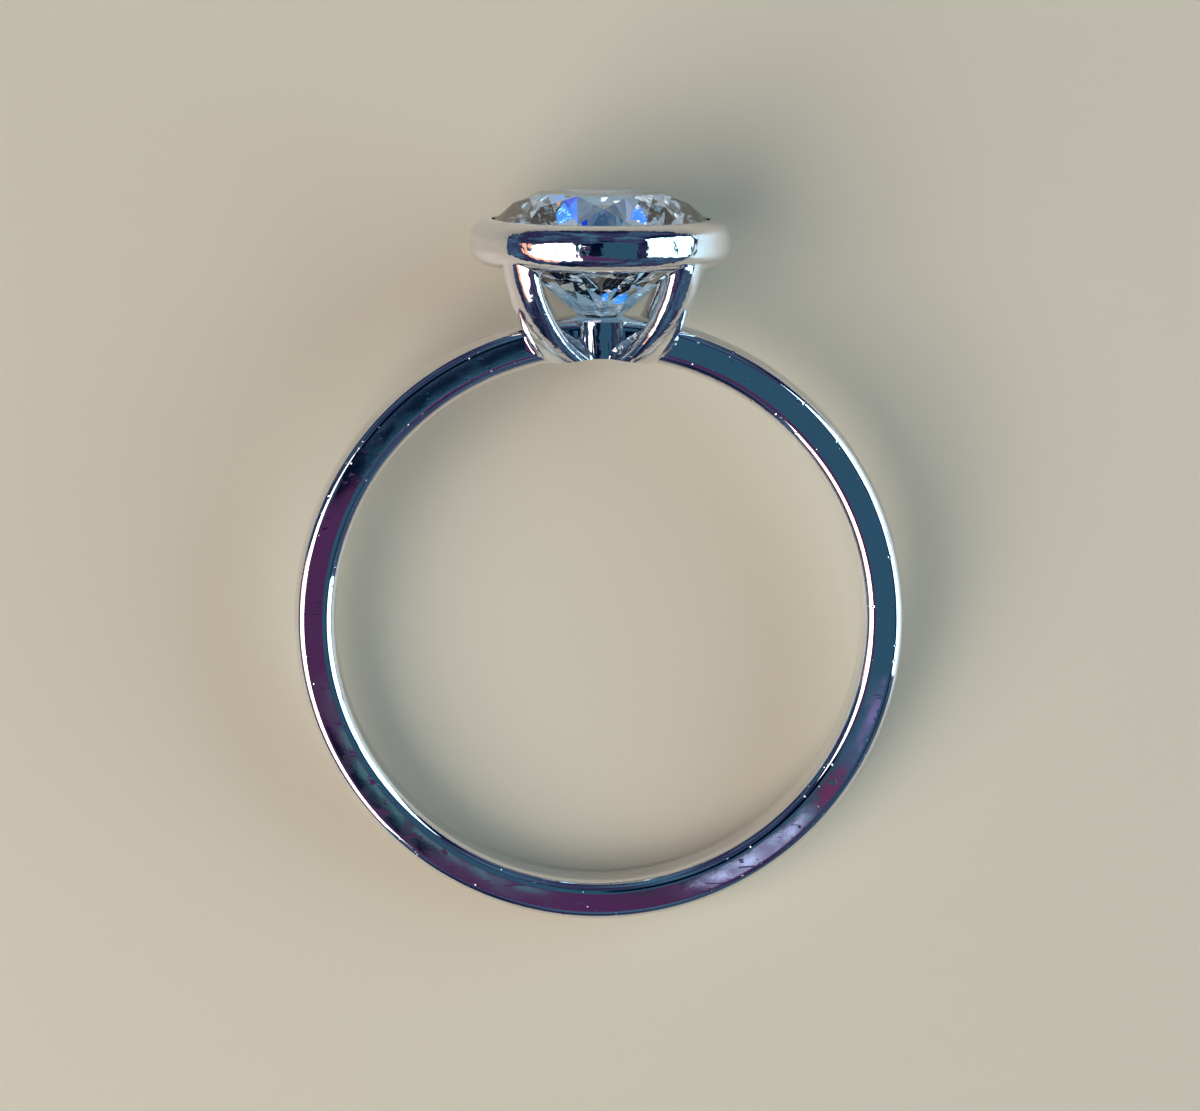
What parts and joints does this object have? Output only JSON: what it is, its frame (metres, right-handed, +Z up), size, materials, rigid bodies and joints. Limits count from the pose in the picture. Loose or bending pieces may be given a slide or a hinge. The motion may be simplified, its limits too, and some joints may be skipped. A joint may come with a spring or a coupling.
{
  "type": "bezel set ring",
  "caption": "Finger ring with a domed plain band, an open basket of curved wires and a round bezel that holds a faceted round stone. It lies on its side.",
  "frame": {"origin": "on the surface that the ring lies on, under the middle of its length and width", "axes": "+Y from the band's back towards the stone, +Z up from the surface, +X across the ring; the finger's axis leans 8.4 degrees from +Z towards -Y"},
  "size_m": [0.02, 0.024, 0.0085],
  "materials": {
    "polished_metal": "polished, with fine scratches and small pits",
    "clear_stone": "polished facets"
  },
  "bodies": {
    "root": {"ring_mount": "polished_metal", "stone": "clear_stone"}
  },
  "joints": []
}
